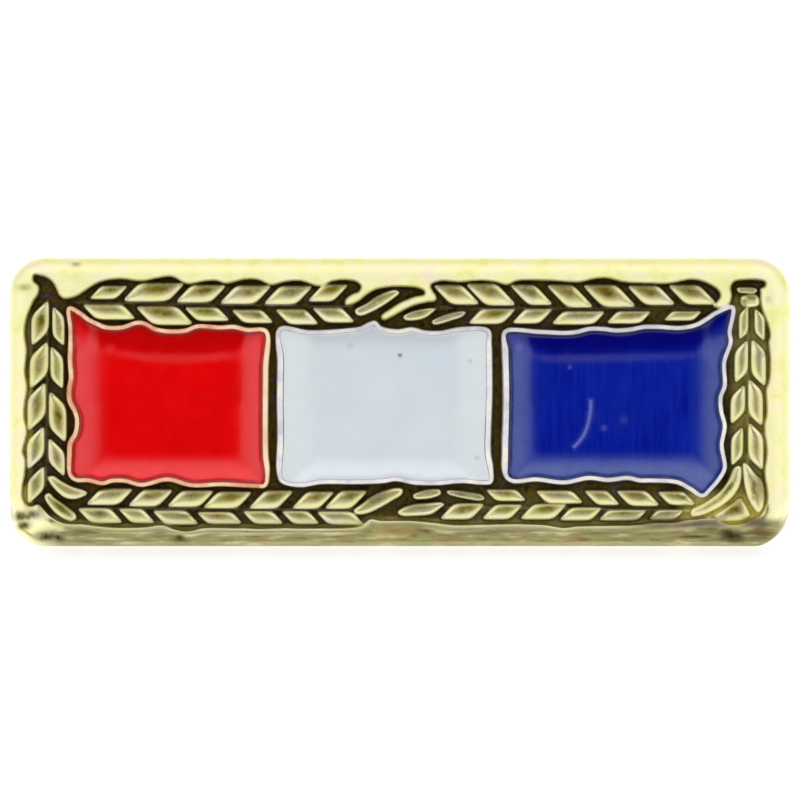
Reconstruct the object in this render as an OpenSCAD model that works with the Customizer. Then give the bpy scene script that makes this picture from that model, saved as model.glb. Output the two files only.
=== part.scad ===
// Ribbon pin: a small enamelled bar with a laurel border struck in relief, three enamel cells and one post on the back.
// The bar leans back as it rests: on the rounded lower edge of its back and on the tip of its post.

/* [Bar] */
// Width of the bar
bar_w = 22.2; // [20:0.1:26]
// Height of the bar
bar_h = 8.2; // [7.6:0.1:10]
// Thickness from the flat back to the top of the rim
bar_t = 1.6; // [1.4:0.1:2.2]
// Radius of the bar's corners, seen from the front
corner_r = 1.05; // [0.6:0.05:1.2]
// Radius of the rounded shoulder along the front edge
shoulder_r = 0.45; // [0.2:0.05:0.5]

/* [Relief] */
// Depth of the groove round the leaves, below the rim
groove_deep = 0.35; // [0.2:0.05:0.5]
// Depth of the enamel cells, below the rim
cell_deep = 0.6; // [0.5:0.05:0.8]
// Thickness of the thin wall round each cell
wall_t = 0.14; // [0.1:0.01:0.2]
// How far the ends of a leaf are skewed
leaf_skew = 0.8; // [0:0.1:1.2]

/* [Enamel] */
// How far the middle of the enamel lies below the rim
enamel_low = 0.15; // [0.05:0.05:0.3]
// Gap between the enamel and the metal
enamel_gap = 0.015; // [0.01:0.005:0.03]

/* [Post] */
// Length of the post from the bar's back to its tip
post_len = 8; // [6:0.5:10]
// Radius of the post
post_r = 0.55; // [0.4:0.05:0.65]
// Length of the pointed end
point_len = 1.2; // [1:0.1:1.6]
// Radius of the soldered foot
foot_r = 1.5; // [1.2:0.1:2]
// Thickness of the soldered foot
foot_t = 0.2; // [0.15:0.05:0.3]

/* [Hidden] */
$fn = 64;

// Radius of the back's lower edge and of the post's tip, on which the bar rests
edge_r = 0.15;
// Angle that the bar leans back from upright
lean = atan((bar_h / 2 - edge_r) / post_len);
// Height of the bar's centre line over the table
rise = (post_len - edge_r) * sin(lean) + edge_r;
// Foremost and rearmost reach, with the centre line of the post at 0
fore = -(bar_h / 2 - shoulder_r) * sin(lean) - (bar_t - shoulder_r) * cos(lean) - shoulder_r;
aft = (post_len - edge_r) * cos(lean) + edge_r;

// The relief is charted on a grid of 783 by 290 steps over the bar: x to the right, y down
chart_w = 783;
chart_h = 290;
chart_mid = [399.5, 402];
step = [bar_w / chart_w, bar_h / chart_h];
function at(x, y) = [(x - chart_mid[0]) * step[0], (chart_mid[1] - y) * step[1]];

// The border's outer edge: left, right, top, bottom
BORDER = [27, 766, 281, 529];

// Each row is a leaf: left, right, top, bottom. The leaves of one table lean the same way.
TOP_LEFT_OUTER = [
    [92, 124, 287, 301], [126, 181, 283, 304], [179, 223, 286, 304], [224, 268, 285, 304],
    [268, 310, 286, 304], [313, 345, 284, 300]];
TOP_LEFT_INNER = [
    [86, 132, 304, 319], [140, 190, 305, 325], [188, 227, 306, 320], [235, 271, 309, 321],
    [279, 316, 309, 323], [317, 352, 308, 321]];
TOP_RIGHT_OUTER = [
    [437, 476, 287, 304], [471, 513, 285, 304], [514, 549, 287, 305], [552, 588, 287, 306],
    [588, 630, 287, 306], [633, 671, 288, 304], [674, 709, 287, 301]];
TOP_RIGHT_INNER = [
    [434, 467, 311, 324], [472, 513, 310, 324], [517, 549, 310, 323], [555, 603, 311, 323],
    [610, 649, 311, 323], [667, 700, 311, 319]];
BOTTOM_LEFT_INNER = [
    [89, 130, 492, 507], [132, 172, 492, 508], [171, 212, 492, 508], [207, 249, 493, 508],
    [253, 290, 492, 508], [295, 330, 492, 508], [331, 363, 491, 507]];
BOTTOM_LEFT_OUTER = [
    [81, 119, 511, 523], [122, 153, 511, 524], [157, 195, 511, 525], [199, 239, 512, 525],
    [247, 281, 512, 525], [286, 317, 512, 525], [321, 360, 512, 525]];
BOTTOM_RIGHT_INNER = [
    [449, 484, 492, 507], [491, 525, 493, 506], [540, 580, 493, 508], [587, 617, 494, 508],
    [620, 656, 494, 508], [661, 692, 495, 508]];
BOTTOM_RIGHT_OUTER = [
    [443, 482, 509, 523], [487, 520, 511, 524], [523, 563, 512, 525], [563, 596, 512, 525],
    [601, 643, 513, 524], [651, 682, 513, 523]];
LEFT_OUTER = [
    [31, 47, 304, 336], [29, 45, 344, 384], [28, 44, 387, 427], [27, 43, 433, 467], [27, 43, 472, 502]];
LEFT_INNER = [[49, 64, 309, 344], [49, 65, 350, 387], [49, 66, 396, 439], [48, 63, 443, 472]];
RIGHT_INNER = [[733, 746, 309, 336], [733, 747, 346, 379], [733, 747, 390, 420], [733, 747, 430, 463]];
RIGHT_OUTER = [
    [750, 763, 315, 338], [749, 763, 342, 381], [749, 763, 383, 421], [749, 763, 425, 467], [749, 763, 469, 511]];
// Each row is a leaf by the ends of its middle line, x and y of one and then of the other, and its width
SLANTING = [
    [357, 314, 399, 292, 13], [381, 317, 434, 294, 8], [404, 318, 435, 310, 10], [345, 302, 361, 290, 8],
    [356, 512, 403, 493, 13], [398, 516, 443, 504, 9], [418, 499, 441, 493, 6],
    [50, 480, 86, 496, 13], [45, 496, 75, 519, 13], [688, 511, 739, 477, 14], [719, 519, 744, 506, 11],
    [706, 300, 713, 291, 5], [738, 290, 755, 290, 4], [741, 301, 755, 301, 9]];

// Each row is a bend in the middle line of a cell's wall, x and y, clockwise from its upper left corner
RED_CELL = [
    [69, 308], [80, 313], [88, 319], [98, 324], [106, 327], [122, 327], [136, 322.5], [144, 323], [156, 329],
    [172, 331], [186, 330], [197, 326], [220, 327], [234, 326.5], [247, 329.5], [267.5, 331],
    [266.5, 370], [266.5, 455], [268.5, 471], [266.5, 485.5],
    [255, 486.5], [221, 485], [192, 486], [171, 480.5], [163, 480.5], [142, 485.5], [124, 481.5], [88, 481],
    [76, 480.5], [70, 475], [68.5, 454], [70, 443], [75.5, 433], [77, 421], [75, 412], [69.5, 401],
    [69, 389], [71, 378], [70, 360], [70.5, 346], [70, 328]];
WHITE_CELL = [
    [278.5, 329], [310, 332], [347, 330], [361, 328], [369, 324], [375, 322.5], [380, 327.5], [397, 331],
    [412, 329], [424, 332], [440, 332.5], [463, 328.5], [489, 330.5],
    [490, 346], [490.5, 392], [489, 453], [491.5, 468], [491.5, 481.5],
    [484, 482.5], [461, 481], [437, 483], [415, 482.5], [396, 479], [383, 481], [356, 482], [321, 482],
    [300, 485], [281, 481], [278, 474], [279, 438], [278.5, 400], [279, 361]];
BLUE_CELL = [
    [506, 331.5], [540, 331.5], [564, 332.5], [577, 331.5], [589, 328.5], [603, 328.5], [616, 330], [631, 329],
    [644, 326.5], [660, 326.5], [680, 327.5], [696, 324.5], [707, 318.5], [717, 312], [733, 307],
    [730, 332], [731, 342], [724.5, 362], [725, 386], [721, 397], [721.5, 411], [725, 426], [722, 445],
    [725, 468], [720, 479], [705, 494.5],
    [690, 487.5], [678, 483], [652, 481.5], [640, 481.5], [628, 479], [608, 481], [589, 479], [564, 483.5],
    [536, 480.5], [513, 482], [507, 477], [506, 450], [507, 411], [507, 380], [506, 350]];

function sgn_pow(c, k) = sign(c) * pow(abs(c), k);

// A leaf seen from the front: a long rounded four-sided shape with its ends skewed. way is 1 or -1, and up is true in a
// column.
function leaf_points(row, way, up) =
    let (a = at(row[0], row[3]), b = at(row[1], row[2]), mid = (a + b) / 2, half = (b - a) / 2,
         long = up ? half[1] : half[0], wide = up ? half[0] : half[1], skew = way * leaf_skew * wide)
    [for (i = [0:11]) let (t = 15 + 30 * i, s = sgn_pow(sin(t), 0.6),
        along = (long - 0.5 * abs(skew)) * sgn_pow(cos(t), 0.6) + skew * s, across = wide * s)
        mid + (up ? [across, along] : [along, across])];

// A leaf along a slanting middle line
function slip_points(row) =
    let (a = at(row[0], row[1]), b = at(row[2], row[3]), mid = (a + b) / 2, half = (b - a) / 2,
         l = norm(half), e = half / l, w = row[4] * step[1] / 2)
    [for (i = [0:11]) let (t = 15 + 30 * i, c = l * sgn_pow(cos(t), 0.7), s = w * sgn_pow(sin(t), 0.7))
        mid + c * e + s * [-e[1], e[0]]];

// An outline with every side moved outwards by d
function turned(a, b) = let (d = (b - a) / norm(b - a)) [-d[1], d[0]];
function grown(p, d) =
    [for (i = [0:len(p) - 1])
        let (m = turned(p[(i + len(p) - 1) % len(p)], p[i]), n = turned(p[i], p[(i + 1) % len(p)]))
        p[i] + d * (m + n) / (1 + m * n)];
function cell_line(rows) = [for (r = rows) at(r[0], r[1])];

module leaves(rows, way, up = false) {
    for (r = rows) polygon(leaf_points(r, way, up));
}

module border_leaves() {
    leaves(TOP_LEFT_OUTER, 1);
    leaves(TOP_LEFT_INNER, -1);
    leaves(TOP_RIGHT_OUTER, -1);
    leaves(TOP_RIGHT_INNER, 1);
    leaves(BOTTOM_LEFT_INNER, 1);
    leaves(BOTTOM_LEFT_OUTER, -1);
    leaves(BOTTOM_RIGHT_INNER, -1);
    leaves(BOTTOM_RIGHT_OUTER, 1);
    leaves(LEFT_OUTER, 1, true);
    leaves(LEFT_INNER, -1, true);
    leaves(RIGHT_INNER, 1, true);
    leaves(RIGHT_OUTER, -1, true);
    for (r = SLANTING) polygon(slip_points(r));
}

module border_field() {
    a = at(BORDER[0], BORDER[3]);
    b = at(BORDER[1], BORDER[2]);
    translate(a) square(b - a);
}

// A slab's edge from the side: flat back with a small round, upright side, round shoulder. half is its half width.
module slab_profile(half) {
    difference() {
        translate([-half, 0]) square([2 * half, bar_t]);
        for (s = [-1, 1]) {
            difference() {
                translate([s * half - shoulder_r, bar_t - shoulder_r]) square(2 * shoulder_r);
                translate([s * (half - shoulder_r), bar_t - shoulder_r]) circle(shoulder_r);
                translate([s > 0 ? -half : -half + shoulder_r, bar_t - shoulder_r]) square([2 * half - shoulder_r, shoulder_r]);
            }
            difference() {
                translate([s * half - edge_r, -edge_r]) square(2 * edge_r);
                translate([s * (half - edge_r), edge_r]) circle(edge_r);
                translate([s > 0 ? -half : -half + edge_r, 0]) square([2 * half - edge_r, edge_r]);
            }
        }
    }
}

module slab() {
    in_w = bar_w - 2 * corner_r;
    in_h = bar_h - 2 * corner_r;
    translate([-in_w / 2, 0, 0]) rotate([90, 0, 90]) linear_extrude(in_w) slab_profile(bar_h / 2);
    translate([0, in_h / 2, 0]) rotate([90, 0, 0]) linear_extrude(in_h) slab_profile(bar_w / 2);
    for (x = [-1, 1], y = [-1, 1])
        translate([x * in_w / 2, y * in_h / 2, 0]) rotate_extrude()
            intersection() {
                slab_profile(corner_r);
                square([corner_r, bar_t]);
            }
}

// The post: soldered foot, straight shaft and a blunt point
module post() {
    turn = asin((post_r - edge_r) / norm([post_r - edge_r, point_len - edge_r]));
    translate([0, 0, -foot_t]) cylinder(r = foot_r, h = foot_t + 0.2);
    translate([0, 0, -foot_t - 0.3]) cylinder(r1 = post_r, r2 = post_r + 0.3, h = 0.31);
    translate([0, 0, -(post_len - point_len)]) cylinder(r = post_r, h = post_len - point_len);
    rotate_extrude() intersection() {
        union() {
            translate([0, -(post_len - edge_r)]) circle(edge_r);
            polygon([
                [0, -(post_len - edge_r)],
                [edge_r * cos(turn), -(post_len - edge_r) - edge_r * sin(turn)],
                [post_r, -(post_len - point_len)],
                [0, -(post_len - point_len)]]);
        }
        translate([0, -post_len - 1]) square([post_r + 1, post_len]);
    }
}

// Puts the bar as it rests: leaning back on the table
module resting() {
    translate([0, -(fore + aft) / 2, rise]) rotate([90 - lean, 0, 0]) children();
}

module bar() {
    color([0.86, 0.76, 0.42]) resting() union() {
        difference() {
            slab();
            translate([0, 0, bar_t - groove_deep]) linear_extrude(groove_deep + 1) difference() {
                border_field();
                border_leaves();
                polygon(grown(cell_line(RED_CELL), wall_t / 2));
                polygon(grown(cell_line(WHITE_CELL), wall_t / 2));
                polygon(grown(cell_line(BLUE_CELL), wall_t / 2));
            }
            for (rows = [RED_CELL, WHITE_CELL, BLUE_CELL])
                translate([0, 0, bar_t - cell_deep]) linear_extrude(cell_deep + 1)
                    polygon(grown(cell_line(rows), -wall_t / 2));
        }
        post();
    }
}

module enamel(rows) {
    resting() translate([0, 0, bar_t - cell_deep + enamel_gap])
        linear_extrude(cell_deep - enamel_low - enamel_gap)
            polygon(grown(cell_line(rows), -wall_t / 2 - enamel_gap));
}

module enamel_red() { color([0.87, 0, 0.02]) enamel(RED_CELL); }
module enamel_white() { color([0.82, 0.85, 0.88]) enamel(WHITE_CELL); }
module enamel_blue() { color([0, 0.08, 0.59]) enamel(BLUE_CELL); }

bar();
enamel_red();
enamel_white();
enamel_blue();
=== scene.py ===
"""Looks of the ribbon pin: the struck gold bar in relief, and three soft enamel fills."""
import math

import bpy
import numpy as np
from mathutils import Matrix, Vector
from mathutils.geometry import delaunay_2d_cdt
from mathutils.kdtree import KDTree

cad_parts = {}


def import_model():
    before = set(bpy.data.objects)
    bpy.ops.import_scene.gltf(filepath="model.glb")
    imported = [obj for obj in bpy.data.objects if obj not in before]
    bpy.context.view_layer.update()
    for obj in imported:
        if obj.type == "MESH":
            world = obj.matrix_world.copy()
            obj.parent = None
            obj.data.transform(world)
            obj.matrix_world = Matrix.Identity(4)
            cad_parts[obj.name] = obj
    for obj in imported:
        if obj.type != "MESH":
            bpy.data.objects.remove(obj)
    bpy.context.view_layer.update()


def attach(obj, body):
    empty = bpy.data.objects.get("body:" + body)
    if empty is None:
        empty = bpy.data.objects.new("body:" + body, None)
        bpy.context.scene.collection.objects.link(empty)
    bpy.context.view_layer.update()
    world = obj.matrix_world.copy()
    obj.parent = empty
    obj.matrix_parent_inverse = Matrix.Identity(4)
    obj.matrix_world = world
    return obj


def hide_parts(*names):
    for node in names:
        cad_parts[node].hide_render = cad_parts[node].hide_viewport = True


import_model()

# ---------------------------------------------------------------- sizes, in millimetres
BAR_W, BAR_H, BAR_T = 22.2, 8.2, 1.6
CORNER, SHOULDER, EDGE = 1.05, 0.45, 0.15
POST_R, POST_LEN, POINT_LEN, FOOT_R, FOOT_T = 0.55, 8.0, 1.2, 1.5, 0.2
CELL_DEEP, GAP = 0.6, 0.015
LEAN = math.atan((BAR_H / 2 - EDGE) / POST_LEN)
SIN, COS = math.sin(LEAN), math.cos(LEAN)
RISE = (POST_LEN - EDGE) * SIN + EDGE
FORE = -(BAR_H / 2 - SHOULDER) * SIN - (BAR_T - SHOULDER) * COS - SHOULDER
AFT = (POST_LEN - EDGE) * COS + EDGE
SHIFT_Y = -(FORE + AFT) / 2

# The relief is charted on a grid of 783 by 290 steps over the bar: x to the right, y down
STEP = np.array([BAR_W / 783, BAR_H / 290])
MID = np.array([399.5, 402.0])


def at(rows):
    """Chart x, y to millimetres on the face, u to the right and v up."""
    p = np.asarray(rows, float)
    return np.stack([(p[..., 0] - MID[0]) * STEP[0], (MID[1] - p[..., 1]) * STEP[1]], -1)


def chart(p):
    """Millimetres on the face to chart x, y."""
    return MID[0] + p[:, 0] / STEP[0], MID[1] - p[:, 1] / STEP[1]


def world(u, v, n):
    """A point on or under the face, in metres, as the pin rests."""
    return np.stack([u, v * SIN - n * COS + SHIFT_Y, v * COS + n * SIN + RISE], -1) / 1000


# ---------------------------------------------------------------- charts
# Each row is a leaf: left, right, top, bottom. The leaves of one table lean the same way.
TOP_LEFT_OUTER = [
    (92, 125, 285.5, 298.5), (126, 181, 282.8, 301), (179, 223, 284.8, 302), (223, 268, 285.2, 303.5),
    (267, 309, 285.7, 304), (311, 345, 284.2, 301)]
TOP_LEFT_INNER = [
    (85, 133, 304, 319), (139, 190, 306, 324.5), (187, 227, 307, 320.5), (234, 271, 309.5, 322.5),
    (278, 316, 309, 324), (315, 352, 307.5, 322)]
TOP_RIGHT_OUTER = [
    (437, 476, 284.8, 304), (470, 512, 283.5, 305), (514, 549, 284.6, 304.5), (551, 589, 284.6, 307),
    (587, 632, 284.6, 306.5), (631, 672, 285.4, 304.5), (672, 713, 284.8, 304)]
TOP_RIGHT_INNER = [
    (471, 513, 308.5, 323.5), (515, 550, 308.5, 323), (554, 603, 311, 324), (609, 649, 311, 323), (666, 700, 311, 320)]
BOTTOM_LEFT_INNER = [
    (89, 130, 489, 505), (131, 170, 490, 506.5), (170, 211, 491, 507), (206, 249, 492, 508.5),
    (252, 290, 491, 509), (295, 331, 492, 509), (328, 364, 491, 509)]
BOTTOM_LEFT_OUTER = [
    (80, 120, 508.5, 523), (121, 152, 509, 523), (155, 196, 511, 524.5), (199, 240, 512.5, 523.8),
    (245, 281, 511.5, 524), (284, 317, 511.5, 524), (319, 361, 512, 524.5)]
BOTTOM_RIGHT_INNER = [
    (488, 524, 490, 501), (538, 581, 491, 503.5), (587, 617, 491, 505), (619, 657, 491, 506), (660, 693, 492, 505)]
BOTTOM_RIGHT_OUTER = [
    (443, 482, 504, 519.3), (485, 520, 505, 519.3), (523, 564, 504.5, 519.3), (562, 600, 508, 520.3),
    (601, 645, 510.5, 520.3), (651, 682, 510.5, 519.5)]
LEFT_OUTER = [(31.5, 48.5, 303, 343), (30, 48, 344, 386), (28, 45.5, 385, 428), (27.5, 44, 429, 467), (28, 44, 469, 501)]
LEFT_INNER = [(52.5, 64, 308, 344), (50.5, 63, 348, 387), (49, 66, 394, 440), (48.5, 64.5, 441, 474)]
RIGHT_INNER = [(739.5, 748, 308, 338), (735, 748, 342, 381), (731, 745, 387, 422), (731.5, 743, 429, 464)]
RIGHT_OUTER = [(755, 764.5, 310, 339), (751.5, 765.5, 341, 384), (748.5, 762.5, 381, 424), (748.5, 763, 425, 468)]
# table, way that its leaves lean, in a column or in a row, and how much painted shade darkens their upper edge
LEAVES = [
    (TOP_LEFT_OUTER, 1, False, 0.95), (TOP_LEFT_INNER, -1, False, 0.85), (TOP_RIGHT_OUTER, -1, False, 0.95),
    (TOP_RIGHT_INNER, 1, False, 0.8), (BOTTOM_LEFT_INNER, 1, False, 0.8), (BOTTOM_LEFT_OUTER, -1, False, 0.4),
    (BOTTOM_RIGHT_INNER, -1, False, 0.7), (BOTTOM_RIGHT_OUTER, 1, False, 0.4), (LEFT_OUTER, 1, True, 0),
    (LEFT_INNER, -1, True, 0), (RIGHT_INNER, 1, True, 0), (RIGHT_OUTER, -1, True, 0)]
LEAF_SKEW = 0.95
GROW = 0.014
# Leaves of their own shape, where the sprays cross and at the corners: how strongly their middles are painted with
# olive shade, and the outline clockwise
FREE = [
    (0.6, [(355, 309.5), (366, 303), (377, 295.5), (389, 290.5), (397, 290), (399.5, 292.5), (393, 298.5), (383, 305.5),
           (372, 311.5), (361, 315.5), (356, 314)]),
    (0.8, [(403, 316.5), (409, 312), (418, 309.3), (429, 307.8), (435.5, 308.8), (431, 313.5), (424, 318), (413, 320.3),
           (405, 319.6)]),
    (0.3, [(431.5, 321.5), (438, 317), (449, 313), (460, 311), (466, 312), (462, 316.5), (452, 320), (441, 323.5),
           (434, 324.3)]),
    (0.8, [(353.5, 511), (361, 504.5), (370, 497.5), (381, 492), (394, 488.5), (402.5, 489.5), (402, 494.5),
           (392, 501), (379, 508.5), (366, 514), (356, 514.5)]),
    (0.6, [(413, 495.5), (420, 491.5), (430, 489.3), (440, 490.3), (441, 494), (434, 497.8), (423, 499.5), (414.5, 499)]),
    (0.6, [(397.5, 512.5), (404, 507.5), (414, 504.3), (428, 503.2), (441, 502.7), (444.5, 504.5), (439, 509.5),
           (431, 514.5), (415, 516.2), (401, 515.8)]),
    (0.3, [(446.5, 491.5), (456, 490.8), (470, 492.5), (481, 494.8), (484.8, 499), (480, 501), (469, 499.6),
           (456, 497), (448, 494.3)]),
    (0.7, [(47.5, 477.5), (54, 476.2), (61, 481), (71, 486.5), (84, 490.6), (87.5, 493.5), (82, 497.4), (73, 499.6),
           (64, 497.6), (55.5, 490.5), (49.5, 483)]),
    (1.0, [(44.5, 495.5), (49, 493.3), (55, 498.5), (65, 505.5), (75, 513.5), (76.3, 518.5), (72, 521.3), (65, 519.8),
           (56, 514), (48.8, 506), (45, 500)]),
    (0.7, [(697, 506.5), (705, 503), (714, 497), (722, 490), (728.8, 480), (733, 469.5), (737.5, 466), (741, 467),
           (741.5, 476), (739.7, 486), (733.7, 496), (725, 503.8), (714, 510.3), (702, 515.3), (692, 516.5), (691, 511)]),
    (0.9, [(715, 516.5), (723, 510.5), (732, 504.2), (740.5, 498.5), (744, 503), (748, 510.5), (750, 515.5),
           (744, 519.5), (733, 521), (721, 520.5)]),
    (0.6, [(743.5, 463), (748, 465), (755, 473.5), (762, 481), (764, 493), (763, 507), (758.5, 512.8), (754, 508.5),
           (749.5, 501), (745.5, 490), (743.5, 476)]),
    (0.1, [(737, 288), (744, 286.8), (754, 287.5), (757.5, 290), (755, 292.8), (745, 293), (738.5, 291.8)]),
    (0.45, [(741, 297), (747, 294.2), (756, 294.2), (759, 299), (758.5, 305), (752, 306.8), (745, 306.8), (741, 303)]),
]
# Fine grooves: x and y of the ends, width, and how dark
GROOVES = [
    (704, 509, 721, 499.5, 1.4, 0.6), (720, 500, 732.5, 484, 1.6, 0.9), (753.5, 483, 754, 499, 1.7, 0.7), (755, 342, 764, 356, 1.2, 0.4),
    (60, 509, 71, 516, 1.2, 0.4), (373, 301, 386, 295, 1.2, 0.35), (741, 299, 746, 306, 1.4, 0.6),
    (748, 296.5, 755, 297.5, 1.8, 0.8)]
# Darker spots on the leaves that the photograph shows: x, y, half width, half height, strength
EYES = [
    (162, 288, 9, 4, 0.6), (248, 292, 3.5, 3.5, 0.9), (292.5, 292, 4, 3.2, 0.85), (608, 293.5, 4, 4.5, 1.0),
    (570.5, 291, 3, 7, 0.9), (533.5, 292.5, 2.8, 6, 0.8), (456, 290, 6, 4.5, 0.6), (492, 291, 6, 3.5, 0.6),
    (652, 292, 6, 5, 0.6), (695, 291, 8, 4.5, 0.6), (168, 313, 6, 2.5, 0.9), (258, 315, 4, 3.5, 0.8),
    (302, 312.5, 3.5, 3.5, 0.8), (114, 308, 8, 3, 0.4), (213, 312.5, 4, 3, 0.4), (39, 320, 3.2, 3.5, 0.8),
    (38, 365, 2, 4.5, 0.8), (34.5, 402, 3.5, 5, 0.5), (34, 453, 2.2, 4, 0.9), (33, 483, 2.5, 6, 0.5),
    (58, 414, 3, 6, 0.6), (99, 515.5, 6, 3.5, 0.8), (182, 516.5, 10, 2.5, 0.8), (103, 489.5, 8, 2, 1.0),
    (148, 496.5, 5, 2.5, 0.6), (272, 499, 7, 3.5, 0.7), (459, 513, 5.5, 1.8, 0.9), (640, 497, 6, 2.2, 0.9),
    (605, 496, 5, 2.2, 0.6), (683, 497.5, 5, 2.2, 0.8), (686, 507.5, 4, 3, 1.0), (738, 509, 3, 2.5, 0.9),
    (317, 497, 4, 2.5, 0.5), (757, 358, 3, 6, 0.35), (755, 447, 3, 6, 0.4)]

# Each row is a bend in the middle line of a cell's wall, x and y, clockwise from its upper left corner
RED_CELL = [
    (69, 308), (80, 313), (88, 319), (98, 324), (106, 327), (122, 327), (136, 322.5), (144, 323), (156, 329),
    (172, 331), (186, 330), (197, 326), (220, 327), (234, 326.5), (247, 329.5), (266, 331),
    (265.7, 370), (265.7, 455), (267.4, 471), (265, 485.5),
    (255, 486.1), (221, 484.6), (192, 485.6), (171, 480.1), (163, 480.1), (142, 485.1), (124, 481.1), (112, 481.1),
    (103, 483.6), (88, 480.6), (76, 480.1), (70, 475), (69.1, 454), (70, 443), (75.5, 433), (77, 421), (75, 412),
    (69.5, 401), (69, 389), (70.7, 378), (69.7, 360), (70.2, 346), (70, 328)]
WHITE_CELL = [
    (279.7, 329), (310, 332), (347, 330), (361, 328), (369, 324), (375, 322.5), (380, 327.5), (397, 331),
    (412, 329), (424, 332), (440, 332.5), (463, 328.5), (488.2, 330.5),
    (489.2, 346), (489.7, 392), (488.2, 453), (490.7, 468), (490.7, 482),
    (484, 483), (461, 481.5), (437, 483.5), (415, 483), (396, 479.5), (383, 481.5), (356, 482.5), (321, 482.5),
    (300, 485.5), (282.2, 481.5), (279.2, 474.5), (280.2, 438), (279.7, 400), (280.2, 361)]
BLUE_CELL = [
    (505.1, 331.5), (540, 331.5), (564, 332.5), (577, 331.5), (589, 328.5), (603, 328.5), (616, 330), (631, 329),
    (644, 326.5), (660, 326.5), (680, 327.5), (696, 324.5), (707, 318.5), (717, 312), (733, 307),
    (730, 332), (731, 342), (724.5, 362), (725, 386), (721, 397), (721.5, 411), (725, 426), (722, 445),
    (725, 468), (719.5, 479), (711, 489), (702.5, 496),
    (690, 489), (678, 482.8), (652, 480.8), (640, 480.8), (628, 478.3), (608, 480.3), (589, 478.3), (564, 482.8),
    (536, 479.8), (513, 481.3), (506.1, 476.3), (505.1, 450), (506.1, 411), (506.1, 380), (505.1, 350)]
# The flat middle of each enamel: left, right, top, bottom
RED_FLAT, WHITE_FLAT, BLUE_FLAT = (106, 237, 350, 457), (318, 450, 350, 457), (536, 694, 352, 456)
# The fold in the enamel along the top of each flat middle, x and y
RED_FOLD = [(88, 351), (98, 350.5), (110, 350), (120, 351.4), (130, 354.2), (148, 357), (175, 358.6), (198, 358), (215, 356.2), (236, 353.8), (256, 353)]
WHITE_FOLD = [(300, 347), (470, 347)]
BLUE_FOLD = [(514, 352), (530, 354), (555, 358.5), (600, 357.3), (640, 356.3), (665, 355.3), (690, 354), (706, 352)]
# Small marks in the enamel: x, y, radius, how far they stand up in millimetres, how dark
RED_MARKS = [(110, 349, 6.0, 0.003, 0.10)]
WHITE_MARKS = [(400, 355, 2.6, -0.004, 0.75), (470, 361, 3.0, 0.0, 0.22), (477, 458, 3.2, 0.0, 0.22), (350, 346, 5, 0.002, 0.12)]
BLUE_MARKS = [(570, 367, 3.0, 0.002, 0.2), (604, 428, 3.8, 0.002, 0.2), (624, 420, 5.5, 0.002, 0.1), (519, 347, 5.0, 0.003, 0.2)]
BLUE_SCRATCH = [(591, 401), (590.5, 410), (589, 420), (585, 433), (579, 442), (573, 448)]

# The rim's scalloped inner edge, x and y, clockwise: top, right, bottom and left
RIM_TOP = [
    (34, 275), (42, 276), (50, 280), (55, 287), (58, 294), (63, 298.5), (71, 298), (78, 295.4), (93, 285.6),
    (103, 281.2), (120, 279), (142, 281.2), (156, 278.7), (171, 276.8), (187, 284), (205, 281.4), (216, 280.9),
    (225, 283.6), (245, 279.6), (258, 280), (270.5, 285), (286, 281.8), (300, 281), (314, 285.4), (321.5, 286.3),
    (332, 281.6), (345, 280), (356, 281.8), (360.5, 286.2), (358.5, 290.5), (351, 294), (345, 299.5), (345, 304.8),
    (351, 304.8), (359, 301), (366.5, 295), (375, 290), (390, 287), (409.5, 287), (418, 288.2), (423.5, 290.6),
    (424, 293.6), (414, 296.2), (402, 301), (390, 308.4), (380.5, 315.8), (383.5, 320), (395, 315.2), (405, 309.6),
    (416, 305), (427, 302.4), (436.3, 300.4), (436.5, 295.5), (433, 290), (431.5, 285), (440, 281.2), (460, 282.3), (480, 280.7), (496, 282.3),
    (507, 284.9), (518, 281), (545, 280.5), (578.6, 282.3), (594.6, 279), (606, 278.2), (625, 282.3), (646, 283.5),
    (670, 283.5), (691, 279.7), (700.5, 280.8), (710, 284.6), (718, 290), (720, 295.5), (717, 300.5), (713, 306),
    (721, 308.5), (729, 305), (732.5, 296), (731.5, 287), (735, 281.5), (745, 280), (758, 280), (765, 282),
    (765, 285.6), (760.5, 288), (760, 293), (760, 299), (760.8, 306)]
RIM_RIGHT = [
    (763, 313), (766, 320), (768.8, 329), (769.5, 336), (768.3, 342), (769.3, 355), (769.5, 372.7), (768, 382.5),
    (765.5, 389), (766.1, 403.4), (766, 415), (764, 424), (764, 432), (765.5, 443), (766.2, 454), (764, 473),
    (767, 495.4), (765.5, 508), (761.5, 515)]
RIM_BOTTOM = [
    (752, 519.5), (739.5, 524.5), (727.6, 524.5), (716.7, 518.8), (695, 519.4), (673, 522.6), (655, 522.8), (640, 524.8),
    (598, 526), (576, 526.6), (564, 528), (545, 525.2), (513, 524.2), (482.7, 524.8), (465, 525.2), (452, 525),
    (438, 523.4), (423, 521.8), (409.5, 520.8), (380, 520.8), (370.5, 519.4), (360, 526), (348, 527.8), (300, 528.4),
    (281, 528.2), (260, 528.8), (236, 528.2), (204, 528.2), (186, 531.6), (173.6, 529.2), (163, 525.4), (142, 527.4),
    (120, 527.8), (103, 526.8), (85, 524.6), (62.5, 523), (50, 516.6), (44.6, 511.2), (37.5, 504.6)]
RIM_LEFT = [
    (31, 506.5), (26, 504.5), (22.5, 497), (23, 487), (25.4, 473), (26, 460), (23.2, 452), (26, 440), (27.5, 431),
    (24.5, 415), (25.6, 402), (27.7, 387), (25.5, 372), (26.4, 359.5), (27.2, 350), (25.2, 336), (25.4, 326),
    (28, 315), (34, 300.5), (38.6, 293), (39, 286), (33.6, 280)]

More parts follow.
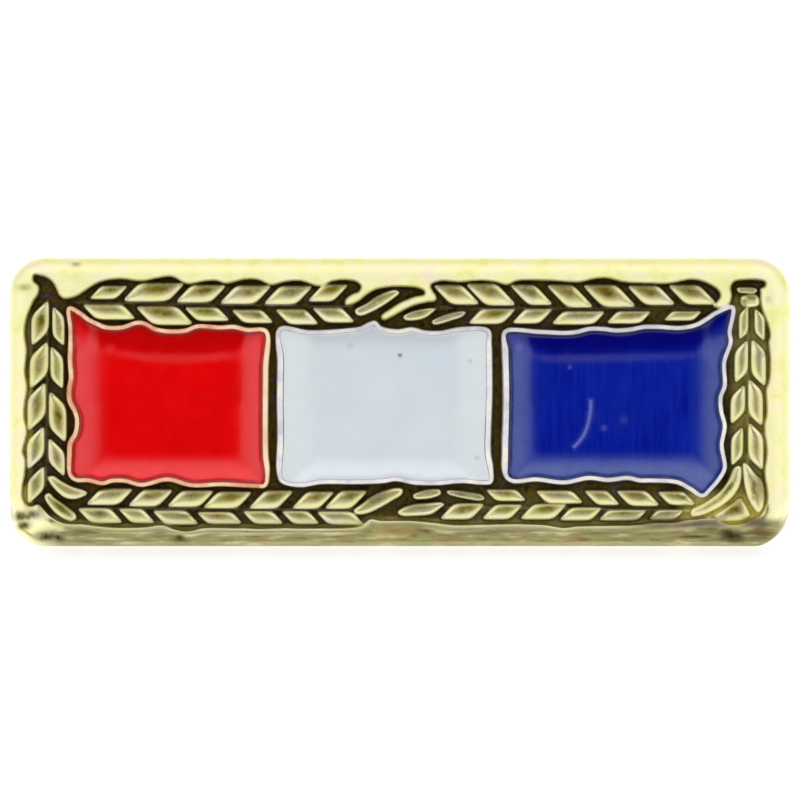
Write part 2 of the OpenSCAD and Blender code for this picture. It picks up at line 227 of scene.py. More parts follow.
# How pale the ground is between the rim and the leaves down each side: y, how pale
LEFT_GAP = [(300, 0.05), (320, 0.25), (365, 0.3), (380, 0.7), (450, 0.75), (462, 0.5), (472, 0.15), (482, 0.2), (490, 0.8), (505, 0.8)]
RIGHT_GAP = [(300, 0.3), (325, 0.2), (345, 0.4), (365, 0.55), (405, 0.65), (450, 0.75), (463, 0.5), (475, 0.2), (490, 0.6), (505, 0.7)]

# The stem between the two rows of leaves, x and y of its ends
STEMS = [
    (74, 302, 132, 303), (132, 303, 352, 306.5), (430, 308, 700, 308), (84, 508.5, 360, 510), (446, 508, 690, 510.5),
    (47.5, 300, 47, 345), (47, 345, 46, 486), (748, 308, 748, 470), (700, 522, 742, 500)]


# ---------------------------------------------------------------- curves and distances
def smooth(rows, spacing=0.045, closed=True):
    """A smooth curve through charted points, at an even spacing in millimetres."""
    p = at(rows)
    n = len(p)
    out = []
    for i in range(n if closed else n - 1):
        a, b, c, d = (p[(i + k) % n] if closed else p[min(max(i + k, 0), n - 1)] for k in (-1, 0, 1, 2))
        t1 = max(np.linalg.norm(b - a), 1e-6) ** 0.5
        t2 = t1 + max(np.linalg.norm(c - b), 1e-6) ** 0.5
        t3 = t2 + max(np.linalg.norm(d - c), 1e-6) ** 0.5
        k = max(2, int(np.linalg.norm(c - b) / 0.008))
        t = np.linspace(t1, t2, k, endpoint=False)[:, None]
        ab, bc, cd = a + (b - a) * t / t1, b + (c - b) * (t - t1) / (t2 - t1), c + (d - c) * (t - t2) / (t3 - t2)
        abc, bcd = ab + (bc - ab) * t / t2, bc + (cd - bc) * (t - t1) / (t3 - t1)
        out.append(abc + (bcd - abc) * (t - t1) / (t2 - t1))
    return spaced(np.concatenate(out), spacing, closed)


def spaced(p, spacing, closed=True):
    """A line at an even spacing."""
    q = np.concatenate([p, p[:1]]) if closed else p
    s = np.concatenate([[0], np.cumsum(np.linalg.norm(np.diff(q, axis=0), axis=1))])
    t = np.linspace(0, s[-1], max(8, int(round(s[-1] / spacing))), endpoint=False)
    return np.stack([np.interp(t, s, q[:, 0]), np.interp(t, s, q[:, 1])], -1)


def inward(p):
    """Unit vectors to the inside of a clockwise closed line."""
    d = np.roll(p, -1, 0) - np.roll(p, 1, 0)
    d /= np.linalg.norm(d, axis=1)[:, None] + 1e-12
    return np.stack([d[:, 1], -d[:, 0]], -1)


def moved(p, d):
    """A clockwise closed line moved inwards by d, without its doubled-back stretches."""
    d = np.broadcast_to(d, len(p))
    q = p + d[:, None] * inward(p)
    keep = np.abs(Line(p).side(q)) > np.abs(d) * 0.9 - 1e-9
    return q, keep


class Line:
    """A clockwise closed line, with the distance from it: positive inside."""

    def __init__(self, p):
        self.p = p
        self.e = np.roll(p, -1, 0) - p
        self.l2 = (self.e ** 2).sum(1) + 1e-18
        u = self.e / np.sqrt(self.l2)[:, None]
        self.n = np.stack([u[:, 1], -u[:, 0]], -1)
        self.tree = KDTree(len(p))
        for i, (x, y) in enumerate(p):
            self.tree.insert((x, y, 0), i)
        self.tree.balance()

    def side(self, q):
        i = np.array([self.tree.find((x, y, 0))[1] for x, y in q], int)
        j = (i - 1) % len(self.p)
        best = None
        for k in (i, j):
            t = np.clip(((q - self.p[k]) * self.e[k]).sum(1) / self.l2[k], 0, 1)
            c = self.p[k] + t[:, None] * self.e[k]
            d = np.linalg.norm(q - c, axis=1)
            if best is None:
                best, where, at_i = d, c, t <= 0
            else:
                closer = d < best
                where = np.where(closer[:, None], c, where)
                on_j = closer & (t < 1)
                at_i = np.where(closer, t >= 1, at_i)
                best = np.where(closer, d, best)
        n = np.where(at_i[:, None], self.n[i] + self.n[j], np.where(on_j[:, None], self.n[j], self.n[i]))
        return np.where(((q - where) * n).sum(1) >= 0, best, -best)


def step_up(x, lo, hi):
    t = np.clip((x - lo) / (hi - lo), 0, 1)
    return t * t * (3 - 2 * t)


def slab_inset(p):
    """Distance in from the bar's outline."""
    q = np.abs(p) - (np.array([BAR_W, BAR_H]) / 2 - CORNER)
    return CORNER - np.linalg.norm(np.maximum(q, 0), axis=1) - np.minimum(q.max(1), 0)


def outline(inset, count=560):
    """The bar's outline moved in, clockwise, always with the same number of points."""
    out = []
    w, h = BAR_W / 2 - CORNER, BAR_H / 2 - CORNER
    r = CORNER - inset
    arc, top, side = 24, int((count - 96) * 0.37), 0
    side = (count - 96) // 2 - top
    for cx, cy, start, line in ((-w, h, 180, top), (w, h, 90, side), (w, -h, 0, top), (-w, -h, -90, side)):
        for i in range(arc):
            a = math.radians(start - 90 * i / arc)
            out.append((cx + r * math.cos(a), cy + r * math.sin(a)))
        a = math.radians(start - 90)
        x, y = cx + r * math.cos(a), cy + r * math.sin(a)
        d = {180: (2 * w, 0), 90: (0, -2 * h), 0: (-2 * w, 0), -90: (0, 2 * h)}[start]
        for i in range(line):
            out.append((x + d[0] * i / line, y + d[1] * i / line))
    return np.array(out)


rim = Line(smooth(RIM_TOP + RIM_RIGHT + RIM_BOTTOM + RIM_LEFT))
walls = [Line(smooth(rows)) for rows in (RED_CELL, WHITE_CELL, BLUE_CELL)]


def clockwise(p):
    area = (p[:, 0] * np.roll(p[:, 1], -1) - np.roll(p[:, 0], -1) * p[:, 1]).sum()
    return p if area < 0 else p[::-1]


class Leaf:
    """One leaf: mid and the half sizes along and across it, and how far its ends are skewed."""

    def __init__(self, mid, long, wide, axis, skew=0.0, power=0.6, olive=1.0, column=False, top_dark=0.9):
        self.top_dark = top_dark
        self.mid, self.wide, self.skew, self.power, self.olive, self.column = mid, wide, skew, power, olive, column
        self.crown = 0.0 if column else 0.28
        self.long = long - 0.5 * abs(skew)
        self.axis = np.array(axis, float)
        self.over = np.array([-axis[1], axis[0]]) if not column else np.array([1.0, 0.0])

    def line(self, d=0.0, spacing=0.055):
        t = np.linspace(0, -2 * np.pi, 400, endpoint=False)
        c, s = np.cos(t), np.sin(t)
        c, s = np.sign(c) * np.abs(c) ** self.power, np.sign(s) * np.abs(s) ** self.power
        along = ((self.long - d) * c + self.skew * s)[:, None]
        p = self.mid + along * self.axis + ((self.wide - d) * s)[:, None] * self.over
        p = spaced(clockwise(p), spacing)
        return p, np.ones(len(p), bool)

    def spot(self, q):
        """Place in the leaf: along and across from -1 to 1, and distance in from its edge."""
        r = q - self.mid
        s = (r * self.over).sum(1) / self.wide
        a = ((r * self.axis).sum(1) - self.skew * s) / self.long
        m = 2 / self.power
        g = (np.abs(a) ** m + np.abs(s) ** m + 1e-12) ** (1 / m)
        ga = np.abs(a / g) ** (m - 1) / self.long
        gs = np.abs(s / g) ** (m - 1) / self.wide
        ga2 = np.sign(a) * ga
        gs2 = np.sign(s) * gs - ga2 * self.skew / self.wide
        return a, s, (1 - g) / np.sqrt(ga2 ** 2 + gs2 ** 2 + 1e-9)

    def bowl(self, a, s, d):
        """How deep the leaf is dished, from 0 at its edge to 1."""
        across = np.where(s < self.crown, (s - self.crown) / (1 + self.crown), (s - self.crown) / (1 - self.crown))
        ends = np.clip((np.abs(a) - 0.5) / 0.5, 0, 1) ** 2
        return (1 - np.clip(across ** 2, 0, 1)) * (1 - ends)


class FreeLeaf:
    """A leaf with an outline of its own."""

    def __init__(self, rows, olive):
        self.edge = Line(clockwise(smooth(rows, 0.05)))
        self.mid = self.edge.p.mean(0)
        r = self.edge.p - self.mid
        self.axis = np.linalg.eigh(r.T @ r)[1][:, 1]
        self.axis = self.axis * (1 if self.axis[0] > 0 else -1)
        self.over = np.array([-self.axis[1], self.axis[0]])
        self.over = self.over * (1 if self.over[1] > 0 else -1)
        self.long, self.wide = np.abs(r @ self.axis).max(), 0.8 * np.abs(r @ self.over).max()
        self.olive, self.column, self.crown, self.top_dark = olive, False, 0.15, 0.7

    def line(self, d=0.0, spacing=0.055):
        return moved(self.edge.p, d) if d else (self.edge.p, np.ones(len(self.edge.p), bool))

    def spot(self, q):
        r = q - self.mid
        return r @ self.axis / self.long, r @ self.over / self.wide, self.edge.side(q)

    def bowl(self, a, s, d):
        return 1 - (1 - np.clip(d / (0.85 * self.wide), 0, 1)) ** 2


rng = np.random.default_rng(7)
leaves = []
for table, way, column, top_dark in LEAVES:
    for left, right, top, bottom in table:
        a, b = at((left, bottom)), at((right, top))
        half = (b - a) / 2
        long, wide = (half[1], half[0]) if column else (half[0], half[1])
        long, wide = long + GROW, wide + GROW
        leaves.append(Leaf((a + b) / 2, long, wide, (0, 1) if column else (1, 0), way * LEAF_SKEW * wide,
                           0.42 if column else 0.36, rng.uniform(0.6, 1.0), column, top_dark))
leaves += [FreeLeaf(rows, olive) for olive, rows in FREE]

FLOOR, CREST, DISH, STEM_TOP = -0.33, -0.06, 0.048, -0.17


RIM_SLOPE = 0.165


def rim_top(p):
    """Height of the rim: a round shoulder, and a top that falls away a little to the outside."""
    e = slab_inset(p)
    fall = np.clip(SHOULDER - e, 0, SHOULDER)
    return -(SHOULDER - np.sqrt(SHOULDER ** 2 - fall ** 2)) - RIM_SLOPE * np.clip(1.4 - e, -0.5, 1.4) - corner_drop(p)


def corner_drop(p):
    """How much further the rim falls away at the lower left corner."""
    x, y = chart(p)
    return 0.13 * np.maximum(y - 505, 0) * STEP[1] * (1 - step_up(x, 48, 66))


def broad(x, y):
    """How broad a wall is: those that run up and down beside the white cell are broader."""
    upright = step_up(y, 336, 350) * (1 - step_up(y, 464, 478))
    return 1.12 + upright * (0.6 * np.exp(-((x - 505) / 8) ** 4) + 0.55 * np.exp(-((x - 280) / 6) ** 4) +
                             0.4 * np.exp(-((x - 489) / 6) ** 4) + 0.35 * np.exp(-((x - 265) / 6) ** 4) +
                             0.2 * np.exp(-((x - 71) / 8) ** 4))


def relief(p):
    """Height of the struck face under the rim's level, how each place is finished, and where shade and highlights are
    painted.
    """
    n = len(p)
    x, y = chart(p)
    out = -rim.side(p)
    h = np.full(n, FLOOR)
    clear, olive, shade, red, silver, stem_highlight = (np.zeros(n) for _ in range(6))
    # rim, with a thin roll along its inner edge at the bottom
    rise = step_up(out, -0.055, 0.022)
    low = step_up(y, 500, 515)
    roll = np.clip(1 - out / 0.18, 0, 1) ** 1.6 * 0.042 * low
    h = np.maximum(h, FLOOR + (rim_top(p) - roll - FLOOR) * rise)
    clear = np.maximum(clear, step_up(out, -0.048, 0.030))
    # painted shade: an olive line along the rim's inner edge, left off along the bottom
    olive = np.where(out > -0.05, 0.9 * (1 - step_up(out, 0.020, 0.085)) * (1 - low), 0)
    open_floor = step_up(-out, 0.03, 0.11)
    # stems
    for x0, y0, x1, y1 in STEMS:
        a, b = at((x0, y0)), at((x1, y1))
        t = np.clip(((p - a) @ (b - a)) / ((b - a) @ (b - a)), 0, 1)
        d = np.linalg.norm(p - a - t[:, None] * (b - a), axis=1)
        h = np.maximum(h, STEM_TOP - 0.9 * d ** 2 / 0.05 - 0.2 * d)
        # painted highlight along each stem's crest
        stem_highlight = np.maximum(stem_highlight, 1 - step_up(d, 0.0, 0.06))
    # leaves
    for leaf in leaves:
        near = np.abs(p - leaf.mid).max(1) < leaf.long + leaf.wide + 0.1
        a, s, d = leaf.spot(p[near])
        rise = step_up(d, -0.045, 0.016)
        top = CREST - DISH * min(1.25, (leaf.wide / 0.2) ** 1.5) * leaf.bowl(a, s, d)
        h[near] = np.maximum(h[near], FLOOR + (top - FLOOR) * rise)
        # painted shade: the upper edge of each leaf in a row takes the dark ground colour instead of a highlight
        top_edge_shade = 0.0 if leaf.column else 0.5 * leaf.top_dark * step_up(s, 0.60, 1.0) * (1 - step_up(np.abs(a), 0.6, 1.05))
        clear[near] = np.maximum(clear[near], step_up(d, -0.06, 0.06) ** 1.5 * (1 - top_edge_shade))
        open_floor[near] = np.minimum(open_floor[near], step_up(-d, 0.03, 0.11))
        # painted shade: an olive spot over the middle of each leaf
        dot = 0.04 + 1.2 * np.exp(-np.abs((a - 0.02) / 0.72) ** 2.4 - np.abs((s - leaf.crown - 0.08) / 0.66) ** 2.2) * step_up(d, 0.01, 0.09)
        on = d > -0.02
        olive[near] = np.where(on, leaf.olive * dot * (1 - 0.4 * (leaf.mid[0] > 9.3 and leaf.mid[1] > -1.9)), olive[near])
        if not leaf.column:
            # painted shade: the upper side of each leaf in a row darker
            shade[near] = np.where(on, leaf.top_dark * step_up(s, 0.22, 1.0) * (1 - step_up(np.abs(a), 0.5, 1.0)), shade[near])
    # the darker spots add painted shade to the leaves
    for cx, cy, rx, ry, k in EYES:
        eye = k * np.exp(-((x - cx) / rx) ** 2 - ((y - cy) / ry) ** 2)
        olive = np.maximum(olive, np.minimum(eye * 1.2, 1))
        shade = np.maximum(shade, 0.8 * eye)
    for x0, y0, x1, y1, width, k in GROOVES:
        a, b = at((x0, y0)), at((x1, y1))
        t = np.clip(((p - a) @ (b - a)) / ((b - a) @ (b - a)), 0, 1)
        d = np.linalg.norm(p - a - t[:, None] * (b - a), axis=1) / (width * STEP[0])
        h -= 0.03 * k * np.exp(-d ** 2)
        shade = np.maximum(shade, k * np.exp(-d ** 2))
        clear *= 1 - 0.7 * k * np.exp(-d ** 2)
    # ground that is paler
    pale = 0.33 * step_up(x, 726, 740) * step_up(y, 292, 300)
    pale = np.maximum(pale, step_up(x, 759, 763) * np.interp(y, *zip(*RIGHT_GAP)) * step_up(y, 305, 315) * (1 - step_up(y, 505, 512)))
    pale = np.maximum(pale, (1 - step_up(x, 30, 34)) * np.interp(y, *zip(*LEFT_GAP)) * step_up(y, 300, 318) * (1 - step_up(y, 502, 507)))
    pale = np.maximum(pale, 0.8 * step_up(x, 668, 692) * step_up(y, 486, 500))
    pale = np.maximum(pale, 0.10 * step_up(x, 430, 470) * step_up(y, 486, 500))
    pale = np.maximum(pale, 0.42 * step_up(y, 513, 520) * (1 - step_up(-out, 0.04, 0.13)))
    pale = np.maximum(pale, step_up(x, 700, 716) * step_up(y, 499, 507))
    # walls and cells
    for k, wall in enumerate(walls):
        d = wall.side(p)
        w = np.abs(d) / broad(x, y)
        top = -0.012 - 0.03 * (np.clip(w, 0, 0.0585) / 0.0585) ** 2.2
        low = np.where(d > 0, -0.42, FLOOR)
        inside = d > 0.0
        rise = 1 - np.where(inside, step_up(w, 0.0585, 0.0625), step_up(w, 0.036, 0.064))
        h = np.where(inside, low + (top - low) * rise, np.maximum(h, low + (top - low) * rise))
        line = 1 - np.where(inside, np.maximum((0.34, 0.0, 0.25)[k] * step_up(w, 0.028, 0.058), step_up(w, 0.064, 0.080)), step_up(w, 0.038, 0.072))
        clear = np.where(inside, line, np.maximum(clear, line))
        olive = np.where(w < 0.06, 0, olive)
        shade = np.where(w < 0.06, 0, shade)
        open_floor = np.minimum(open_floor, step_up(w, 0.08, 0.15))
        tone = 1 - step_up(w, 0.064, 0.080)
        if k == 0:
            red = np.maximum(red, tone)
        else:
            silver = np.maximum(silver, tone)
    return h, clear, olive, shade, red, silver, open_floor, stem_highlight, pale, out, x, y


# ---------------------------------------------------------------- meshes
def build(name, verts, faces, attributes=None, smooth_faces=True):
    mesh = bpy.data.meshes.new(name)
    mesh.from_pydata([tuple(v) for v in verts], [], faces)
    mesh.validate()
    for key, values in (attributes or {}).items():
        mesh.attributes.new(key, "FLOAT", "POINT").data.foreach_set("value", np.asarray(values, np.float32))
    if smooth_faces:
        mesh.polygons.foreach_set("use_smooth", [True] * len(mesh.polygons))
    mesh.update()
    obj = bpy.data.objects.new(name, mesh)
    bpy.context.scene.collection.objects.link(obj)
    return obj


def triangulate(loops, points):
    """Triangles inside the first loop, through all the lines and points. A line is its points and which of them count."""
    verts, edges = [], []
    for p, keep, shut in loops:
        index = np.full(len(p), -1)
        for i in range(len(p)):
            if keep[i]:
                index[i] = len(verts)
                verts.append(Vector((p[i][0], p[i][1])))
        last = len(p) if shut else len(p) - 1
        for i in range(last):
            a, b = index[i], index[(i + 1) % len(p)]
            if a >= 0 and b >= 0:
                edges.append((int(a), int(b)))
    verts += [Vector((x, y)) for x, y in points]
    v, _, f, origin, _, _ = delaunay_2d_cdt(verts, edges, [], 1, 1e-6)
    return np.array([tuple(q) for q in v]), [list(t) for t in f], origin


def thinned(points, lines, least):
    """Points that keep clear of all the points on the lines."""
    tree = KDTree(sum(int(k.sum()) for _, k, _ in lines))
    i = 0
    for p, keep, _ in lines:
        for x, y in p[keep]:
            tree.insert((x, y, 0), i)
            i += 1
    tree.balance()
    return np.array([q for q in points if tree.find((q[0], q[1], 0))[2] > least])


def grid(x0, x1, y0, y1, pitch, seed, jitter=0.25):
    """A jittered grid of points over part of the chart."""
    r = np.random.default_rng(seed)
    nx, ny = int((x1 - x0) / pitch), int((y1 - y0) / pitch)
    gx, gy = np.meshgrid(np.linspace(x0, x1, nx), np.linspace(y0, y1, ny))
    gx = gx + r.uniform(-jitter, jitter, gx.shape) * pitch
    gy = gy + r.uniform(-jitter, jitter, gy.shape) * pitch
    return at(np.stack([gx.ravel(), gy.ravel()], -1))


def dent(x, y):
    """How far the outline is worn in, in millimetres, round the lower left corner and the lower right one."""
    return 0.12 * np.exp(-((x - 8) / 30) ** 2 - ((y - 515) / 12) ** 2), 0.15 * np.exp(-((x - 792) / 40) ** 4) * step_up(y, 498, 528)


def bar_mesh():
    # outline and shoulder
    count = 560
    first = outline(EDGE, count)
    lines = [(first, np.ones(len(first), bool), True)]
    for inset in (0.19, 0.235, 0.285, 0.34, 0.4, 0.45, 0.52, 0.6, 0.68):
        p = outline(inset, count)
        lines.append((p, -rim.side(p) > 0.05, True))
    # rim's edge
    for d in (0.055, 0.036, 0.018, 0.0, -0.022, -0.05, -0.085, -0.125):
        p, keep = moved(rim.p, d)
        free = np.ones(len(p), bool)
        if d > 0:
            for wall in walls:
                free &= wall.side(p) < -0.09
        lines.append((p, keep & free, True))
    # walls
    for k, wall in enumerate(walls):
        others = [w for i, w in enumerate(walls) if i != k]
        wide = broad(*chart(wall.p))
        for d in (-0.088, -0.075, -0.064, -0.050, -0.036, -0.018, 0.0, 0.018, 0.036, 0.050, 0.0585, 0.0605, 0.0625, 0.085):
            p, keep = moved(wall.p, d * wide)
            free = np.ones(len(p), bool)
            if d < 0:
                free &= -rim.side(p) < -0.02
                for other in others:
                    free &= other.side(p) < d * 1.3 - 0.004
            lines.append((p, keep & free, True))
    # leaves
    for i, leaf in enumerate(leaves):
        for d in (-0.05, -0.03, -0.012, 0.004, 0.018, 0.034):
            if leaf.wide - d < 0.02:
                continue
            p, keep = leaf.line(d)
            free = keep & (-rim.side(p) < (-0.056 if d < 0 else 0.0))
            for wall in walls:
                free &= wall.side(p) < (-0.118 if d < 0 else -0.07)
            for j, other in enumerate(leaves):
                if j != i and np.abs(other.mid - leaf.mid).max() < leaf.long + other.long + 0.3:
                    free &= other.spot(p)[2] < min(d, 0) - 0.001
            lines.append((p, free, True))
        for share in (0.35, 0.68):
            d = 0.034 + share * 0.6 * leaf.wide
            if leaf.wide - d < 0.02 or leaf.long - d < 0.03:
                continue
            p, free = leaf.line(d, 0.075)
            for wall in walls:
                free &= wall.side(p) < -0.1
            for other in leaves[i + 1:]:
                if np.abs(other.mid - leaf.mid).max() < leaf.long + other.long + 0.3:
                    free &= other.spot(p)[2] < -0.001
            lines.append((p, free, True))
    points = grid(14, 786, 262, 541, 3.2, 3)
    inside = slab_inset(points) > EDGE + 0.05
    for wall in walls:
        inside &= wall.side(points) < 0.1
    points = thinned(points[inside], lines, 0.040)
    cell_points = []
    for wall, (x0, x1, y0, y1) in zip(walls, ((68, 268, 308, 487), (277, 492, 322, 486), (505, 734, 306, 496))):
        q = grid(x0, x1, y0, y1, 14, 5)
        cell_points.append(q[wall.side(q) > 0.2])
    points = np.concatenate([points] + cell_points)
    p, faces, origin = triangulate(lines, points)
    h, clear, olive, shade, red, silver, open_floor, stem_highlight, pale, out, x, y = relief(p)
    e = slab_inset(p)

    # finish of each place on the front, with painted shade on the lower bevel
    recess = 1 - clear
    crest = 0.115 + 0.10 * (1 - step_up(x, 55, 78)) + 0.06 * step_up(x, 610, 660) + 0.09 * np.exp(-((x - 439) / 15) ** 4) + 0.016 * np.sin(x / 17) + 0.012 * np.sin(x / 7.3)
    # painted shade with mottled tarnish: the lower bevel darker from its crest outwards
    bevel_shade_and_tarnish = (0.36 + 0.64 * step_up(out, crest, crest + 0.10)) * step_up(y, 516, 524) * step_up(x, 38, 66)
    band = step_up(x, 590, 650) * (1 - step_up(x, 764, 770)) * step_up(y, 514, 518.5) * (1 - step_up(y, 525.5, 529.5)) * (1 - np.exp(-((x - 734) / 8) ** 4))
    cream = red * step_up(x, 258, 262)
    tan = 0.7 * np.exp(-((x - 398) / 27) ** 4 - ((y - 531) / 8) ** 4)
    ring = {}
    for i, where in enumerate(origin):
        for k in where:
            if k < len(first):
                ring[k] = i
    front = len(p)
    rings = [[ring[i] for i in range(len(first))]]
    u, v, n = list(p[:, 0]), list(p[:, 1]), list(BAR_T + h)
    extra = []
    steps = []
    for i in range(1, 8):
        e_i = EDGE * (1 - i / 7) ** 1.6
        z = -(SHOULDER - math.sqrt(max(SHOULDER ** 2 - (SHOULDER - e_i) ** 2, 0))) - RIM_SLOPE * (1.4 - e_i)
        steps.append((e_i, BAR_T + z))
    for z in (0.9, 0.6, 0.35, EDGE):
        steps.append((0.0, z))
    for a in (30, 60, 90):
        steps.append((EDGE * (1 - math.cos(math.radians(a))), EDGE * (1 - math.sin(math.radians(a)))))
    steps.append((EDGE + 0.05, 0.0))
    for inset, z in steps:
        q = outline(inset, count)
        rings.append(list(range(len(u), len(u) + len(q))))
        u += list(q[:, 0]); v += list(q[:, 1]); n += list(z - corner_drop(q) * min(max((z - EDGE) / (0.94 - EDGE), 0), 1))
    faces = [list(f) for f in faces]
    # the front's triangles face the front
    a, b, c = (p[[f[k] for f in faces]] for k in range(3))
    turn = (b[:, 0] - a[:, 0]) * (c[:, 1] - a[:, 1]) - (b[:, 1] - a[:, 1]) * (c[:, 0] - a[:, 0])
    faces = [f if t > 0 else f[::-1] for f, t in zip(faces, turn)]
    for r0, r1 in zip(rings, rings[1:]):
        for i in range(len(r0)):
            j = (i + 1) % len(r0)
            faces.append([r0[i], r0[j], r1[j], r1[i]])
    # flat back, round the soldered foot
    sides = 72
    circle = np.stack([np.cos(np.linspace(0, -2 * np.pi, sides, endpoint=False)),
                       np.sin(np.linspace(0, -2 * np.pi, sides, endpoint=False))], -1)
    last = rings[-1]
    rim_back = np.array([(u[i], v[i]) for i in last])
    foot0, foot1 = circle * (FOOT_R + 0.05), circle * FOOT_R
    some = grid(30, 770, 280, 525, 26, 9)
    some = some[(np.linalg.norm(some, axis=1) > FOOT_R + 1.0) & (slab_inset(some) > 0.5)]
    every = np.ones(len(rim_back), bool)
    bp, bf, bo = triangulate([(rim_back, every, True), (foot0, np.ones(sides, bool), True),
                              (foot1, np.ones(sides, bool), True)] +
                             [(circle * r, np.ones(sides, bool), True) for r in (1.7, 1.95, 2.3)], some)
    number = {}
    for i, where in enumerate(bo):
        old = [k for k in where if k < len(rim_back)]
        if old:
            number[i] = last[old[0]]
        else:
            number[i] = len(u)
            u.append(bp[i][0]); v.append(bp[i][1]); n.append(0.0)
    foot_ring = [None] * sides
    for i, where in enumerate(bo):
        for k in where:
            if len(rim_back) + sides <= k < len(rim_back) + 2 * sides:
                foot_ring[k - len(rim_back) - sides] = number[i]
    for f in bf:
        mid = bp[f].mean(0)
        if np.linalg.norm(mid) < FOOT_R * 0.995:
            continue
        a, b, c = bp[f[0]], bp[f[1]], bp[f[2]]
        t = (b[0] - a[0]) * (c[1] - a[1]) - (b[1] - a[1]) * (c[0] - a[0])
        f = f if t < 0 else f[::-1]
        faces.append([number[i] for i in f])
    # post: foot, solder, shaft and blunt point
    turn = math.asin((POST_R - EDGE) / math.hypot(POST_R - EDGE, POINT_LEN - EDGE))
    profile = [(FOOT_R, -FOOT_T + 0.05), (FOOT_R - 0.015, -FOOT_T + 0.018), (FOOT_R - 0.05, -FOOT_T),
               (FOOT_R - 0.1, -FOOT_T), (1.05, -FOOT_T), (0.9, -FOOT_T - 0.012), (0.8, -FOOT_T - 0.05),
               (0.7, -FOOT_T - 0.13), (0.61, -FOOT_T - 0.22), (0.565, -FOOT_T - 0.29), (POST_R, -FOOT_T - 0.36),
               (POST_R, -3.0), (POST_R, -5.0), (POST_R, -(POST_LEN - POINT_LEN) + 0.1),
               (POST_R - 0.004, -(POST_LEN - POINT_LEN)), (POST_R - 0.045, -(POST_LEN - POINT_LEN) - 0.1)]
    for i in range(1, 5):
        t = i / 5
        profile.append((POST_R + (EDGE * math.cos(turn) - POST_R) * t,
                        -(POST_LEN - POINT_LEN) + (-(POST_LEN - EDGE) - EDGE * math.sin(turn) + POST_LEN - POINT_LEN) * t))
    for i in range(6):
        a = turn + (math.pi / 2 - turn) * i / 6
        profile.append((EDGE * math.cos(a), -(POST_LEN - EDGE) - EDGE * math.sin(a)))
    before = foot_ring
    for r, z in profile:
        ring_now = list(range(len(u), len(u) + sides))
        u += list(circle[:, 0] * r); v += list(circle[:, 1] * r); n += [z] * sides
        for i in range(sides):
            j = (i + 1) % sides
            faces.append([before[i], before[j], ring_now[j], ring_now[i]])
        before = ring_now
    tip = len(u)
    u.append(0.0); v.append(0.0); n.append(-POST_LEN)
    for i in range(sides):
        faces.append([before[i], before[(i + 1) % sides], tip])
    u, v, n = np.array(u), np.array(v), np.array(n)
    x, y = chart(np.stack([u, v], -1))
    left, right = dent(x, y)
    u = u + (left * np.clip(1 - (u + BAR_W / 2) / 0.6, 0, 1) - right * np.clip(1 - (BAR_W / 2 - u) / 0.9, 0, 1)) * step_up(n, 0.1, 0.5)

    def full(values):
        return np.concatenate([values, np.zeros(len(u) - front)])

    # painted shade: olive also round the rim's outer edge and on the side's first rings, except at the bottom and on
    # the lower bevel
    edge_olive = full(np.maximum(olive, 0.16 * (1 - step_up(e, 0.12, 0.30)) * (1 - bevel_shade_and_tarnish)))
    edge_olive[front:front + 3 * count] = 0.16 * (y[front:front + 3 * count] < 500)
    r = np.hypot(u, v)
    satin = np.where(n < -0.25, 0.7, 1.0 * (n < 0.1))
    solder = np.where((n > -0.01) & (n < 0.01), 0.42 * (1 - step_up(r, 1.52, 2.25)), 0) + 0.4 * (n < -0.2) * (1 - step_up(-n, 0.22, 0.62))

    attributes = {"recess": full(recess), "olive": edge_olive, "satin": satin, "shade": full(shade), "red_wall": full(red), "silver_wall": full(silver), "open_floor": full(open_floor), "band": full(band), "cream": full(cream), "tan": full(tan), "stem_highlight": full(stem_highlight), "pale": full(pale),
                  "bevel_shade_and_tarnish": np.concatenate([bevel_shade_and_tarnish, lower_side_shade(u, v, n)[front:]]),
                  "chart_x": x / 1000, "chart_y": y / 1000,
                  # tarnish and stains, with painted shade on the silver walls along the tops of the cells
                  "tarnish_and_shade": np.maximum(solder, np.maximum(tarnish_and_shade(x, y, n, full(out), np.concatenate([np.zeros(front, bool), np.ones(len(u) - front, bool)])),
                                0.14 * full(silver) * (1 - step_up(y, 333, 342))))}
    return build("gold_bar", world(u, v, n), faces, attributes)


def lower_side_shade(u, v, n):
    """How far the side of the bar is the lower one, painted darker all along: painted shade with mottled tarnish."""
    low = np.maximum(v < -BAR_H / 2 + 0.2, (u > 0) * step_up(-v, BAR_H / 2 - 0.95, BAR_H / 2 - 0.55))
    return (0.82 + 0.13 * step_up(u, BAR_W / 2 - 1.6, BAR_W / 2 - 0.8)) * low * (n > 0.2) * step_up(u, -BAR_W / 2 + 0.6, -BAR_W / 2 + 1.5)


# Stains that the photograph shows: x, y, half width, half height, strength
STAINS = [
    (19, 516.5, 9, 5, 1.0), (23, 526, 7, 4.5, 1.0), (33, 514.6, 8.5, 4.2, 0.88), (27, 517.5, 5, 3.2, 0.85), (46, 536.8, 12, 5.2, 1.0), (57.5, 538, 6, 4.5, 1.0), (179, 538, 5.5, 3.5, 0.9),
    (415, 536, 4, 2, 0.5), (428, 531, 9, 2.5, 0.65), (693, 537.5, 18, 1.2, 0.9), (733, 536, 13, 8, 1.0), (727, 531.5, 8, 4, 0.9),
    (756, 523, 12, 4.5, 0.6), (760, 535, 16, 5, 0.6), (75.5, 263, 4.5, 3.5, 0.5), (24, 287, 7, 3.4, 0.45),
    (769, 299, 3, 3, 0.3), (34, 261, 3, 2.5, 0.3), (43, 284, 4, 8, 0.4)]


# the stains alone; the painted shade on the top silver walls is added where this is called
def tarnish_and_shade(x, y, n, out, side):
    t = np.zeros(len(x))
    for cx, cy, rx, ry, k in STAINS:
        t = np.maximum(t, k * np.exp(-np.abs((x - cx) / rx) ** 2.4 - np.abs((y - cy) / ry) ** 2.4))
    t = np.where(side & (y < 500), 0, t)
    return t


